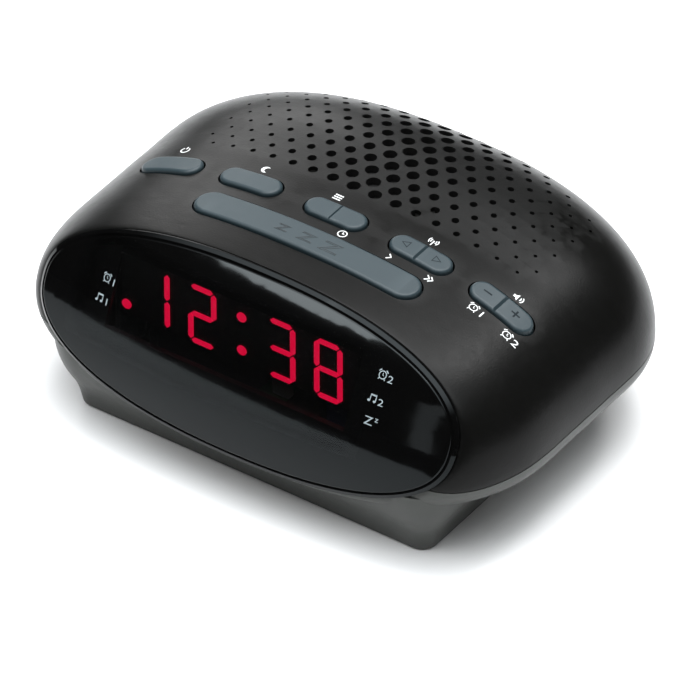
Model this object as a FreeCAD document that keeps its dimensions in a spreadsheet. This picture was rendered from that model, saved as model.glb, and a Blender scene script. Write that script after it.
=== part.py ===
import FreeCAD
import Part
import Sketcher

import math
import os

# A bedside clock radio: a smooth two-part case on a pedestal, a bulging oval lens in front of
# a four-digit display, a row of keys over a snooze bar, and a speaker that faces up.
# Millimetres. +Z is up, -Y is the front, +X is to the right of someone facing the front.
# The origin is on the surface that the feet stand on, under the middle of the case.

Vector = FreeCAD.Vector
UP = Vector(0, 0, 1)
BACK = Vector(0, 1, 0)

doc = FreeCAD.newDocument("clock_radio")
sheet = doc.addObject("Spreadsheet::Sheet", "sizes")

SIZES = {
    # case form
    "body_width": 132.0,
    "crown_height": 53.6,
    "parting_height": 23.0,
    "underside_height": 7.5,
    "full_section_start": -19.7,
    "rear_curve_start": 12.3,
    "rear_curve_length": 39.3,
    "wall": 2.0,
    "seam_gap": 0.3,
    # lens
    "rim_width": 113.8,
    "rim_height": 44.8,
    "rim_tilt": 23.6,
    "rim_centre_y": -41.2,
    "rim_centre_height": 33.0,
    "lens_bulge": 6.8,
    "lens_wall": 2.2,
    # pedestal
    "pedestal_width": 97.0,
    "pedestal_front": -41.5,
    "pedestal_rear": 37.3,
    "pedestal_corner": 4.0,
    "foot_proud": 0.6,
    "foot_diameter": 7.0,
    "foot_x": 42.5,
    "foot_front_y": -35.8,
    "foot_rear_y": 32.8,
    # keys
    "key_row_y": -7.7,
    "key_length": 16.0,
    "key_depth": 6.3,
    "key_proud": 0.9,
    "key_gap": 0.45,
    "key_pitch": 23.3,
    "outer_key_x": 45.2,
    "snooze_y": -18.9,
    "snooze_length": 60.7,
    "snooze_depth": 8.3,
    "stem_gap": 0.05,
    "stem_radius": 1.5,
    "flange_margin": 0.9,
    "flange_thickness": 1.2,
    "rocker_arm": 4.5,
    "rocker_stem_radius": 1.0,
    "pivot_radius": 0.9,
    "pivot_clearance": 0.05,
    # grille
    "hole_pitch_x": 5.53,
    "hole_pitch_y": 3.604,
    "hole_first_row": 3.45,
    "hole_centre_diameter": 3.5,
    # boards and switches
    "board_thickness": 1.6,
    "key_board_top": 30.0,
    "key_board_width": 112.0,
    "key_board_depth": 21.0,
    "key_board_y": -14.2,
    "switch_width": 6.0,
    "switch_height": 3.4,
    "plunger_radius": 1.7,
    "plunger_height": 1.6,
    "main_board_top": 13.6,
    "main_board_width": 44.0,
    "main_board_depth": 30.0,
    "main_board_x": 15.0,
    "main_board_y": -21.5,
    # display
    "digit_height": 16.6,
    "digit_width": 6.35,
    "digit_pitch": 12.9,
    "segment_width": 1.3,
    "display_face_y": -36.9,
    "display_centre_height": 36.1,
    "display_height": 17.2,
    "display_left": -38.4,
    "display_right": 26.6,
    "display_depth": 8.0,
    "colon_x": -5.25,
    "alarm_dot_x": -37.1,
    "dot_radius": 1.25,
    # speaker
    "speaker_y": 20.8,
    "speaker_radius": 23.0,
    "speaker_top": 40.0,
    "speaker_depth": 17.0,
    "magnet_radius": 13.0,
    "magnet_height": 6.0,
    "cone_radius": 16.6,
    "coil_radius": 6.5,
    # battery bay
    "bay_x": -23.5,
    "bay_y": 3.3,
    "bay_width": 27.2,
    "bay_length": 50.0,
    "bay_top": 20.6,
    # transformer
    "transformer_x": 33.0,
    "transformer_y": 9.0,
    "transformer_width": 22.0,
    "transformer_length": 25.0,
    "transformer_height": 26.0,
    # fasteners
    "case_screw_front_x": 42.0,
    "case_screw_front_y": -28.7,
    "case_screw_rear_x": 44.0,
    "case_screw_rear_y": 26.0,
    "case_screw_radius": 1.5,
    "small_screw_radius": 1.0,
}

for row, (alias, number) in enumerate(SIZES.items(), start=1):
    sheet.set("A%d" % row, alias)
    sheet.set("B%d" % row, str(number))
    sheet.setAlias("B%d" % row, alias)
doc.recompute()


def size(alias):
    """A number from the sheet."""
    return float(sheet.get(alias))


class Size:
    """A length together with the sheet expression that gives it."""

    def __init__(self, value, text):
        self.value = value
        self.text = text

    def __add__(self, other):
        return combine(self, "+", other, self.value + number(other))

    def __sub__(self, other):
        return combine(self, "-", other, self.value - number(other))

    def __mul__(self, other):
        return combine(self, "*", other, self.value * number(other))

    def __truediv__(self, other):
        return combine(self, "/", other, self.value / number(other))

    def __neg__(self):
        return self * -1


def number(item):
    """The plain value of a Size or a number."""
    return item.value if isinstance(item, Size) else float(item)


def text(item):
    return item.text if isinstance(item, Size) else repr(float(item))


def combine(left, sign, right, value):
    return Size(value, "(%s %s %s)" % (text(left), sign, text(right)))


def named(alias):
    """A cell of the sheet as a Size."""
    return Size(size(alias), "sizes." + alias)


def bind(obj, prop, item):
    """Bind one property of an object to the sheet."""
    obj.setExpression(prop, text(item))


def place(obj, x=0, y=0, z=0):
    """Bind an object's position to the sheet."""
    for axis, item in (("x", x), ("y", y), ("z", z)):
        bind(obj, "Placement.Base." + axis, item)
    return obj


nodes = []


def node(obj, label):
    """Make an object one of the sub-parts that are written out."""
    obj.Label = label
    nodes.append(obj)
    return obj


def feature(label, shape):
    """A sub-part whose free form is set directly."""
    obj = doc.addObject("Part::Feature", label + "_form")
    obj.Shape = shape
    return node(obj, label)


def box(name, x, y, z, width, depth, height):
    """A block centred on x and y that stands on z."""
    obj = doc.addObject("Part::Box", name)
    bind(obj, "Length", width)
    bind(obj, "Width", depth)
    bind(obj, "Height", height)
    return place(obj, x - width / 2, y - depth / 2, z)


def cylinder(name, x, y, z, radius, height):
    """An upright cylinder that stands on z."""
    obj = doc.addObject("Part::Cylinder", name)
    bind(obj, "Radius", radius)
    bind(obj, "Height", height)
    return place(obj, x, y, z)


def fused(name, objects):
    obj = doc.addObject("Part::MultiFuse", name)
    obj.Shapes = objects
    return obj


def grouped(name, objects):
    """Separate solids that share one node."""
    obj = doc.addObject("Part::Compound", name)
    obj.Links = objects
    return obj


def cut(name, base, tool):
    obj = doc.addObject("Part::Cut", name)
    obj.Base = base
    obj.Tool = tool
    return obj


def origin_plane(body, role):
    return [plane for plane in body.Origin.OriginFeatures if plane.Role == role][0]


def sketch(body, name, role, corners, circles=(), arcs=None, height=0):
    """A closed outline of straight sides on an origin plane, each corner bound to the sheet.

    arcs maps the index of a side to the point that the arc in its place goes through."""
    outline = body.newObject("Sketcher::SketchObject", name)
    outline.AttachmentSupport = [(origin_plane(body, role), "")]
    outline.MapMode = "FlatFace"
    bind(outline, "AttachmentOffset.Base.z", height)
    points = [Vector(number(x), number(y), 0) for x, y in corners]
    arcs = arcs or {}
    ends = []
    for index, point in enumerate(points):
        following = points[(index + 1) % len(points)]
        if index in arcs:
            through = Vector(number(arcs[index][0]), number(arcs[index][1]), 0)
            side = outline.addGeometry(Part.Arc(point, through, following), False)
            forwards = outline.getPoint(side, 1).distanceToPoint(point) < 1e-6
            ends.append((side, 1, 2) if forwards else (side, 2, 1))
        else:
            side = outline.addGeometry(Part.LineSegment(point, following), False)
            ends.append((side, 1, 2))
    for index, (side, first, last) in enumerate(ends):
        next_side, next_first, next_last = ends[(index + 1) % len(ends)]
        outline.addConstraint(Sketcher.Constraint("Coincident", side, last, next_side, next_first))
    for index, (side, first, last) in enumerate(ends):
        for kind, item in zip(("DistanceX", "DistanceY"), corners[index]):
            bound_distance(outline, kind, side, first, item)
    for x, y, radius in circles:
        side = outline.addGeometry(Part.Circle(Vector(number(x), number(y), 0), UP, number(radius)), False)
        bound_distance(outline, "DistanceX", side, 3, x)
        bound_distance(outline, "DistanceY", side, 3, y)
        index = outline.addConstraint(Sketcher.Constraint("Radius", side, number(radius)))
        bind(outline, "Constraints[%d]" % index, radius)
    return outline


def bound_distance(outline, kind, side, point, item):
    """Fix one coordinate of a sketch's point from the origin, bound to the sheet."""
    index = outline.addConstraint(Sketcher.Constraint(kind, -1, 1, side, point, number(item)))
    bind(outline, "Constraints[%d]" % index, item)


def pad(body, name, outline, length, both_ways=False, down=False):
    obj = body.newObject("PartDesign::Pad", name)
    obj.Profile = outline
    bind(obj, "Length", length)
    obj.Midplane = both_ways
    obj.Reversed = down
    doc.recompute()
    return obj


def rectangle(x0, x1, y0, y1):
    return [(x0, y0), (x1, y0), (x1, y1), (x0, y1)]


def new_body(label):
    return node(doc.addObject("PartDesign::Body", label + "_body"), label)


def plate(label, x0, x1, y0, y1, bottom, thickness, holes=()):
    """A flat plate with round holes."""
    body = new_body(label)
    outline = sketch(body, label + "_outline", "XY_Plane", rectangle(x0, x1, y0, y1), holes, height=bottom)
    pad(body, label + "_pad", outline, thickness)
    return body


def turned(label, profile, x=0, y=0):
    """A ring turned about an upright axis from (radius, height) corners."""
    body = new_body(label)
    outline = sketch(body, label + "_profile", "XZ_Plane", profile)
    revolution = body.newObject("PartDesign::Revolution", label + "_revolution")
    revolution.Profile = outline
    revolution.ReferenceAxis = (outline, ["V_Axis"])
    revolution.Angle = 360
    place(body, x, y)
    doc.recompute()
    return body


# ---------------------------------------------------------------- case form
SECTION_POWER = 2.4
RIM_POWER = 2.3
SHOULDER_POWER = 1.8
OUTLINE_POINTS = 56
CROWN = size("crown_height") - size("parting_height")
KEEL = size("parting_height") - size("underside_height")
RIM_TILT = math.radians(size("rim_tilt"))
RIM_CENTRE = Vector(0, size("rim_centre_y"), size("rim_centre_height"))
RIM_UP = Vector(0, math.sin(RIM_TILT), math.cos(RIM_TILT))
RIM_OUT = Vector(0, -math.cos(RIM_TILT), math.sin(RIM_TILT))


def signed_power(value, power):
    return math.copysign(abs(value) ** power, value)


def quarter(fraction, power):
    """The height of a superellipse quarter of unit size at a fraction of its length."""
    return max(0.0, 1.0 - abs(fraction) ** power) ** (1.0 / power)


def crown_z(x):
    """Height of the case's top over x, where the section is full."""
    return size("parting_height") + CROWN * quarter(2 * x / size("body_width"), SECTION_POWER)


def outline_angles():
    return [2 * math.pi * i / OUTLINE_POINTS - math.pi / 2 for i in range(OUTLINE_POINTS)]


def rim_points(inset, back=0.0):
    """Points of the lens rim's oval, in its tilted plane."""
    half_width = size("rim_width") / 2 - inset
    half_height = size("rim_height") / 2 - inset
    points = []
    for angle in outline_angles():
        across = half_width * signed_power(math.cos(angle), 2 / RIM_POWER)
        up = half_height * signed_power(math.sin(angle), 2 / RIM_POWER)
        points.append(RIM_CENTRE + Vector(across, 0, 0) + RIM_UP * up - RIM_OUT * back)
    return points


def full_points(rim, inset):
    """Points of the full section, at the same share of the height as the rim's points."""
    low = min(point.z for point in rim)
    high = max(point.z for point in rim)
    crown = CROWN - inset
    keel = KEEL - inset
    points = []
    for point in rim:
        share = (point.z - low) / (high - low)
        z = share * (crown + keel) - keel
        reach = crown if z > 0 else keel
        across = (size("body_width") / 2 - inset) * quarter(z / reach, SECTION_POWER)
        points.append(Vector(math.copysign(across, point.x), 0, z + size("parting_height")))
    return points


def closed_wire(points):
    count = len(points)
    curve = Part.BSplineCurve()
    curve.interpolate(Points=points, PeriodicFlag=True, Parameters=[i / count for i in range(count + 1)])
    return Part.Wire(curve.toShape())


def case_form(inset, back=0.0):
    """The case as one closed form, its surface an inset inside the outer one."""
    rim = rim_points(inset, back)
    full = full_points(rim, inset)
    middle_z = size("parting_height")
    sections = []
    for step in (0, 0.08, 0.17, 0.28, 0.4, 0.53, 0.67, 0.83, 1.0):
        angle = step * math.pi / 2
        out = math.sin(angle) ** (2 / SHOULDER_POWER)
        along = 1 - math.cos(angle) ** (2 / SHOULDER_POWER) if step < 1 else 1.0
        section = []
        for near, far in zip(rim, full):
            x = near.x + (far.x - near.x) * out
            y = near.y + (size("full_section_start") - near.y) * along
            z = near.z + (far.z - near.z) * out
            section.append(Vector(x, y, z))
        sections.append(section)
    straight = size("rear_curve_start") - size("full_section_start")
    for share in (0.33, 0.67, 1.0):
        y = size("full_section_start") + straight * share
        sections.append([Vector(point.x, y, point.z) for point in full])
    for share in (0.14, 0.28, 0.42, 0.55, 0.67, 0.77, 0.85, 0.91, 0.95, 0.975, 0.99, 0.9975):
        scale = quarter(share, SECTION_POWER)
        y = size("rear_curve_start") + (size("rear_curve_length") - inset) * share
        sections.append([
            Vector(point.x * scale, y, middle_z + (point.z - middle_z) * scale) for point in full])
    return Part.makeLoft([closed_wire(section) for section in sections], True, False)


def rim_prism(inset, start, end):
    """The rim's oval as a straight prism along the lens's axis."""
    face = Part.Face(closed_wire(rim_points(inset, -start)))
    return face.extrude(RIM_OUT * (end - start))


def slab(low, high):
    """A wide flat block between two heights."""
    return Part.makeBox(200, 200, high - low, Vector(-100, -100, low))


def rod(radius, x, y, low, high):
    return Part.makeCylinder(radius, high - low, Vector(x, y, low))


def block(x0, x1, y0, y1, z0, z1):
    return Part.makeBox(x1 - x0, y1 - y0, z1 - z0, Vector(x0, y0, z0))


def stadium(length, depth, x, y, low, high):
    """An upright prism with round ends."""
    radius = depth / 2
    reach = length / 2 - radius
    body = block(x - reach, x + reach, y - radius, y + radius, low, high)
    left = rod(radius, x - reach, y, low, high)
    right = rod(radius, x + reach, y, low, high)
    return body.fuse([left, right]).removeSplitter()


def pedestal_section(height, spread):
    """A rounded rectangle at a height, spread outwards from the pedestal's foot."""
    half = size("pedestal_width") / 2 + spread
    front = size("pedestal_front") - spread
    rear = size("pedestal_rear") + spread
    radius = size("pedestal_corner") + spread
    arcs = []
    for index, (x, y) in enumerate([(half, rear), (-half, rear), (-half, front), (half, front)]):
        centre = Vector(x - math.copysign(radius, x), y - math.copysign(radius, y), height)
        arcs.append(Part.makeCircle(radius, centre, UP, 90 * index, 90 * index + 90))
    edges = []
    for index, arc in enumerate(arcs):
        following = arcs[(index + 1) % 4]
        edges.append(arc)
        edges.append(Part.makeLine(arc.lastVertex().Point, following.firstVertex().Point))
    return Part.Wire(edges)


def pedestal_form(inset, foot):
    """The pedestal as a flared solid whose foot is at a height, an inset inside its outer surface."""
    flare = [(foot, 0.0), (4.0, 0.8), (7.0, 1.9), (10.0, 3.6), (13.0, 5.0), (16.0, 5.9), (20.0, 6.4)]
    sections = [pedestal_section(height, spread - inset) for height, spread in flare]
    return Part.makeLoft(sections, True, False)


WALL = size("wall")
PARTING = size("parting_height")
RIM_LIP = 2.2
outer = case_form(0.0)
core = case_form(WALL / 2, 0.75)
hollow = case_form(WALL, 1.5).fuse(rim_prism(RIM_LIP, -6.0, 4.0))

# heights and places that several pieces share
key_y = named("key_row_y")
snooze_y = named("snooze_y")
key_board_top = named("key_board_top")
plunger_top = key_board_top + named("switch_height") + named("plunger_height")
stem_foot = plunger_top + named("stem_gap")
board = named("board_thickness")
arm = named("rocker_arm")
case_screw_places = []
for side in (-1, 1):
    case_screw_places.append((named("case_screw_front_x") * side, named("case_screw_front_y")))
    case_screw_places.append((named("case_screw_rear_x") * side, named("case_screw_rear_y")))
CASE_JOINT_HEIGHT = 16.0
KEY_BOARD_SCREWS = [(-11.65, size("key_row_y")), (11.65, size("key_row_y")), (-42.0, -19.7), (42.0, -19.7)]
SPEAKER_SCREW_REACH = 21.2 / math.sqrt(2)
speaker_screw_places = []
for across in (-1, 1):
    for along in (-1, 1):
        place_y = named("speaker_y") + along * SPEAKER_SCREW_REACH
        speaker_screw_places.append((across * SPEAKER_SCREW_REACH, place_y))
SWITCHES = {
    "power": (-named("outer_key_x"), key_y),
    "sleep": (-named("key_pitch"), key_y),
    "preset": (Size(0, "0"), key_y),
    "snooze": (Size(0, "0"), snooze_y),
    "tuning_down": (named("key_pitch") - arm, key_y),
    "tuning_up": (named("key_pitch") + arm, key_y),
    "volume_down": (named("outer_key_x") - arm, key_y),
    "volume_up": (named("outer_key_x") + arm, key_y),
}
ROCKERS = {"tuning": "key_pitch", "volume": "outer_key_x"}


def pivot_height(alias):
    """Height of a rocker's pivot pin, under the crown."""
    return crown_z(size(alias)) - 2.5


# ---------------------------------------------------------------- top shell
def grille_holes():
    """Round holes in staggered rows, largest along the middle and smallest at the sides."""
    rows = 12
    reach_at_rear = {9: 6.5, 10: 5.0, 11: 3.5}
    holes = []
    for row in range(rows):
        y = size("hole_first_row") + row * size("hole_pitch_y")
        stagger = 0.5 if row % 2 == 0 else 0.0
        reach = reach_at_rear.get(row, 8.0)
        for index in range(-8, 9):
            steps = index + stagger
            if abs(steps) > reach:
                continue
            x = steps * size("hole_pitch_x") + math.copysign(min(abs(steps), 1.0), steps) * 0.33
            shrink = (1 - abs(steps) / 8) ** 1.4
            diameter = 0.8 + (size("hole_centre_diameter") - 0.8) * shrink
            holes.append(rod(diameter / 2, x, y, PARTING + 5, 60))
    return holes


def key_slots():
    gap = 2 * size("key_gap")
    length = size("key_length") + gap
    depth = size("key_depth") + gap
    slots = []
    for x in (-size("outer_key_x"), -size("key_pitch"), 0, size("key_pitch"), size("outer_key_x")):
        slots.append(stadium(length, depth, x, size("key_row_y"), PARTING + 5, 60))
    slots.append(stadium(size("snooze_length") + gap, size("snooze_depth") + gap, 0, size("snooze_y"),
                         PARTING + 5, 60))
    return slots


EAR_START = size("key_depth") / 2 + size("key_gap") + 0.05
EAR_END = EAR_START + 1.6


def rocker_ears(alias):
    """Two lugs under the shell that hold the ends of a rocker's pivot pin."""
    x = size(alias)
    z = pivot_height(alias)
    ears = []
    for side in (-1, 1):
        y0, y1 = sorted(size("key_row_y") + side * reach for reach in (EAR_START, EAR_END))
        ears.append(block(x - 2.2, x + 2.2, y0, y1, z - 2.4, 60).common(core))
    return ears


def pivot_bore(alias):
    """The hole through both of a rocker's lugs, with room for the pin's ends."""
    reach = EAR_END + 0.1
    start = Vector(size(alias), size("key_row_y") - reach, pivot_height(alias))
    return Part.makeCylinder(size("pivot_radius") + size("pivot_clearance"), 2 * reach, start, BACK)


def make_top_shell():
    tongue_room = core.common(slab(0, PARTING + 1.9))
    shell = outer.cut(hollow).common(slab(PARTING + size("seam_gap") / 2, 80)).cut(tongue_room)
    shell = shell.cut(key_slots() + grille_holes())
    posts = [rod(3.5, number(x), number(y), CASE_JOINT_HEIGHT + 0.1, 60) for x, y in case_screw_places]
    posts += [rod(2.0, x, y, size("key_board_top"), 60) for x, y in KEY_BOARD_SCREWS]
    posts += [rod(2.3, x, number(y), size("speaker_top"), 60) for x, y in speaker_screw_places]
    added = [post.common(core) for post in posts]
    for alias in ROCKERS.values():
        added += rocker_ears(alias)
    screw = size("case_screw_radius")
    pilots = [rod(screw, number(x), number(y), CASE_JOINT_HEIGHT, 25) for x, y in case_screw_places]
    small = size("small_screw_radius")
    boss_foot = size("key_board_top")
    pilots += [rod(small, x, y, boss_foot - 1, boss_foot + 5) for x, y in KEY_BOARD_SCREWS]
    pilots += [rod(small, x, number(y), size("speaker_top") - 1, 44.5) for x, y in speaker_screw_places]
    bores = [pivot_bore(alias) for alias in ROCKERS.values()]
    return feature("top_shell", shell.fuse(added).cut(pilots + bores))


# ---------------------------------------------------------------- bottom shell
CHANNEL_LIP = 0.75
CHANNEL_TOP = 2.5
BAY_FLOOR = 4.2
door_reach = named("bay_width") / 2 + 1.2
channel_front = named("bay_y") - named("bay_length") / 2 - 1.5


def bay_block(side, front, rear, low, high):
    """A block centred on the battery bay, reaching past the battery's room by side, front and rear."""
    x = size("bay_x")
    y = size("bay_y")
    half = size("bay_width") / 2 + side
    reach = size("bay_length") / 2
    return block(x - half, x + half, y - reach - front, y + reach + rear, low, high)


def make_bottom_shell():
    foot = size("foot_proud")
    body = outer.fuse(pedestal_form(0.0, foot))
    room = pedestal_form(WALL, foot + WALL)
    tongue = case_form(WALL / 2 + 0.08, 0.75).cut(hollow).common(slab(PARTING - 1.5, PARTING + 1.6))
    shell = body.cut([hollow, room]).common(slab(-1, PARTING - size("seam_gap") / 2)).fuse(tongue)
    floor = foot + WALL
    tubes = [rod(4.2, number(x), number(y), foot, CASE_JOINT_HEIGHT) for x, y in case_screw_places]
    across = size("main_board_width") / 2 - 3.5
    along = size("main_board_depth") / 2 - 3.5
    for x in (-across, across):
        for y in (-along, along):
            tubes.append(rod(2.5, size("main_board_x") + x, size("main_board_y") + y, foot,
                             size("main_board_top") - size("board_thickness")))
    bay_top = size("bay_top")
    door_run = size("pedestal_rear") - size("bay_y") - size("bay_length") / 2
    added = [bay_block(1.5, 1.5, 1.5, foot, bay_top + 1.5), bay_block(3.4, 3.4, door_run, foot, BAY_FLOOR)]
    for x, radius in ((CORD_X, 4.6), (-CORD_X, 2.8)):
        added.append(Part.makeCylinder(radius, COLLAR_LENGTH, Vector(x, COLLAR_START, CORD_HEIGHT), BACK))
    shell = shell.fuse(tubes + added)
    removed = [bay_block(0, 0, 0, -1, bay_top)]
    removed.append(bay_block(1.4, 1.5, door_run + 20, -1, foot + CHANNEL_LIP))
    removed.append(bay_block(2.6, 1.5, door_run + 20, foot + CHANNEL_LIP, CHANNEL_TOP))
    for x, y in case_screw_places:
        removed.append(rod(3.1, number(x), number(y), -1, 12.5))
        removed.append(rod(size("case_screw_radius") + 0.15, number(x), number(y), 12, 17))
    foot_radius = size("foot_diameter") / 2 + 0.05
    removed += [rod(foot_radius, number(x), number(y), -1, foot + 0.5) for x, y in foot_places]
    small = size("small_screw_radius")
    for x, y in board_screw_places:
        removed.append(rod(small, number(x), number(y), 6, size("main_board_top")))
    for slot in range(5):
        x = size("main_board_x") - 12 + 6 * slot
        y = size("main_board_y")
        removed.append(block(x - 1, x + 1, y - 8, y + 8, -1, floor + 1))
    for x, radius in ((CORD_X, 3.0), (-CORD_X, 1.3)):
        removed.append(Part.makeCylinder(radius, 3 * COLLAR_LENGTH, Vector(x, 36, CORD_HEIGHT), BACK))
    return feature("bottom_shell", shell.cut(removed))


CORD_X = 28.0
CORD_HEIGHT = 18.0
COLLAR_START = 43.0
COLLAR_LENGTH = 6.0
foot_places = []
for side in (-1, 1):
    foot_places.append((named("foot_x") * side, named("foot_front_y")))
    foot_places.append((named("foot_x") * side, named("foot_rear_y")))
board_screw_places = []
for across in (-1, 1):
    for along in (-1, 1):
        x = named("main_board_x") + (named("main_board_width") / 2 - 3.5) * across
        y = named("main_board_y") + (named("main_board_depth") / 2 - 3.5) * along
        board_screw_places.append((x, y))


# ---------------------------------------------------------------- lens and display
LENS_BORDER = 1.5
LENS_FALL = 4.15
LENS_EDGE_FALL = 0.45


def behind_lens_face(drop):
    """Everything behind the lens's bulging face moved back by a drop."""
    half_width = size("rim_width") / 2 - LENS_BORDER
    half_height = size("rim_height") / 2 - LENS_BORDER
    rows = []
    for i in range(-9, 10):
        row = []
        for j in range(-9, 10):
            across = i / 8
            up = j / 8
            fall = LENS_FALL * (across ** 2 + up ** 2) + LENS_EDGE_FALL * (across ** 4 + up ** 4)
            face = RIM_OUT * (size("lens_bulge") - drop - fall)
            row.append(RIM_CENTRE + Vector(across * half_width, 0, 0) + RIM_UP * (up * half_height) + face)
        rows.append(row)
    surface = Part.BSplineSurface()
    surface.interpolate(rows)
    return surface.toShape().extrude(RIM_OUT * -16)


def make_front_lens():
    wall = size("lens_wall")
    pillow = behind_lens_face(0.0).common(rim_prism(LENS_BORDER, 0.3, 12))
    front_edges = [edge for edge in pillow.Edges if rim_depth(edge) > 0.5 and edge.Length > 50]
    pillow = pillow.makeFillet(0.4, front_edges)
    plate_side = rim_prism(0.1, 0.3, 1.0)
    bevel_wires = [closed_wire(rim_points(inset, back)) for inset, back in ((0.1, -1.0), (0.9, -1.7))]
    bevel = Part.makeLoft(bevel_wires, True, True)
    skirt = rim_prism(RIM_LIP + 0.15, -3.0, 0.3)
    room = behind_lens_face(wall).common(rim_prism(LENS_BORDER + wall, -5, 12))
    return feature("front_lens", pillow.fuse([plate_side, bevel, skirt]).cut(room).removeSplitter())


def rim_depth(edge):
    """How far the lowest point of an edge is in front of the rim's plane."""
    points = edge.discretize(24)
    return min((point - RIM_CENTRE).dot(RIM_OUT) for point in points)


def make_display_mask():
    margin = 0.5
    height = size("display_height") / 2 + margin
    middle = size("display_centre_height")
    window = block(size("display_left") - margin, size("display_right") + margin, -60, -20,
                   middle - height, middle + height)
    return feature("display_mask", rim_prism(LENS_BORDER + size("lens_wall") + 0.4, -1.6, -0.4).cut(window))


SEGMENTS = {"1": "bc", "2": "abdeg", "3": "abcdg", "8": "abcdefg"}


def segment(x, z, along_x, length):
    """One lit bar with pointed ends, standing just proud of the display's face."""
    half = length / 2 - 0.25
    width = size("segment_width") / 2
    outline = [(-half, 0), (width - half, width), (half - width, width),
               (half, 0), (half - width, -width), (width - half, -width)]
    y = size("display_face_y")
    corners = [Vector(x + (a if along_x else b), y, z + (b if along_x else a)) for a, b in outline]
    return Part.Face(Part.makePolygon(corners + corners[:1])).extrude(Vector(0, -0.3, 0))


def digit_bars(figure, x):
    across = size("digit_width") / 2
    up = (size("digit_height") - size("segment_width")) / 2
    middle = size("display_centre_height")
    bars = {
        "a": (0, up, True), "g": (0, 0, True), "d": (0, -up, True),
        "f": (-across, up / 2, False), "b": (across, up / 2, False),
        "e": (-across, -up / 2, False), "c": (across, -up / 2, False),
    }
    made = []
    for letter in SEGMENTS[figure]:
        shift, rise, along_x = bars[letter]
        made.append(segment(x + shift, middle + rise, along_x, 2 * across if along_x else up))
    return made


def make_time_digits():
    colon = size("colon_x")
    near = size("digit_pitch") / 2 + 4.4
    far = near + size("digit_pitch")
    lit = []
    for figure, x in (("1", colon - far), ("2", colon - near), ("3", colon + near), ("8", colon + far)):
        lit += digit_bars(figure, x)
    middle = size("display_centre_height")
    dots = ((colon, middle - 4.7), (colon, middle + 4.7), (size("alarm_dot_x"), middle - 5.7))
    for x, z in dots:
        lit.append(Part.makeCylinder(size("dot_radius"), 0.3, Vector(x, size("display_face_y"), z), -BACK))
    return feature("time_digits", Part.makeCompound(lit))


def make_display():
    middle = (named("display_left") + named("display_right")) / 2
    width = named("display_right") - named("display_left")
    bottom = named("display_centre_height") - named("display_height") / 2
    depth = named("display_depth")
    module_y = named("display_face_y") + depth / 2
    node(box("display_module_block", middle, module_y, bottom, width, depth, named("display_height")),
         "display_module")
    board_y = named("display_face_y") + depth + board / 2
    board_height = named("display_height") + 3
    node(box("display_board_block", middle, board_y, bottom - 1, width - 1, board, board_height),
         "display_board")


# ---------------------------------------------------------------- keys
def inner_crown_z(x):
    """Height of the shell's inside over x, where the section is full."""
    reach = 2 * x / (size("body_width") - 2 * WALL)
    return PARTING + (CROWN - WALL) * quarter(reach, SECTION_POWER)


def edge_names(shape, wanted):
    return ["Edge%d" % (index + 1) for index, edge in enumerate(shape.Edges) if wanted(edge)]


def is_upright(edge):
    box_of = edge.BoundBox
    return box_of.XLength < 1e-6 and box_of.YLength < 1e-6


def fillet(body, name, base, names, radius):
    obj = body.newObject("PartDesign::Fillet", name)
    obj.Base = (base, names)
    bind(obj, "Radius", radius)
    doc.recompute()
    return obj


def key_cap(body, label, x, y, length, depth, bottom):
    """A cap whose top follows the crown of the case, with round ends and a soft top edge."""
    half = length / 2
    proud = size("key_proud")
    left, middle, right = (crown_z(number(x) + shift) + proud for shift in (-number(half), 0, number(half)))
    corners = [(x - half, bottom), (x + half, bottom), (x + half, right), (x - half, left)]
    outline = sketch(body, label + "_side", "XZ_Plane", corners, arcs={2: (x, middle)})
    cap = pad(body, label + "_cap", outline, depth, both_ways=True)
    ends = edge_names(cap.Shape, is_upright)
    ends = fillet(body, label + "_ends", cap, ends, depth / 2 - 0.02)
    lowest_top = min(left, right) - 0.2
    top_edges = edge_names(ends.Shape, lambda edge: edge.BoundBox.ZMin > lowest_top)
    fillet(body, label + "_soft_edge", ends, top_edges, Size(0.8, "0.8"))
    place(body, 0, y)


def stem(body, name, x, top, radius):
    circle = sketch(body, name + "_circle", "XY_Plane", [], [(x, 0, radius)], height=stem_foot)
    pad(body, name, circle, Size(top, repr(top)) - stem_foot)


def push_key(label, x, y, length, depth):
    """A key that goes straight down, kept in by a flange under the shell."""
    body = new_body(label)
    margin = named("flange_margin")
    far = abs(number(x)) + number(length) / 2 + number(margin)
    flange_top = round(inner_crown_z(far) - 0.15, 2)
    key_cap(body, label, x, y, length, depth, flange_top)
    reach = length / 2 + margin
    sides = rectangle(x - reach, x + reach, -(depth / 2) - margin, depth / 2 + margin)
    thickness = named("flange_thickness")
    flange_foot = Size(flange_top, repr(flange_top)) - thickness
    flange = sketch(body, label + "_flange_outline", "XY_Plane", sides, height=flange_foot)
    pad(body, label + "_flange", flange, thickness)
    stem(body, label + "_stem", x, flange_top - size("flange_thickness"), named("stem_radius"))
    return body


def rocker(label, alias):
    """A two-way key that tips on a pin across its middle, with a notch between its halves."""
    body = new_body(label)
    x = named(alias)
    pivot = round(pivot_height(alias), 2)
    bottom = pivot - 2.6
    key_cap(body, label, x, key_y, named("key_length"), named("key_depth"), bottom)
    top = crown_z(size(alias)) + size("key_proud")
    notch = sketch(body, label + "_notch_outline", "XZ_Plane", [(x - 0.5, top + 0.2), (x, top - 0.6),
                                                                (x + 0.5, top + 0.2)])
    through(body, label + "_notch", notch)
    bore = named("pivot_radius") + named("pivot_clearance")
    through(body, label + "_bore", sketch(body, label + "_bore_circle", "XZ_Plane", [], [(x, pivot, bore)]))
    for name, shift in (("down", arm * -1), ("up", arm)):
        stem(body, label + "_stem_" + name, x + shift, bottom, named("rocker_stem_radius"))


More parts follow.
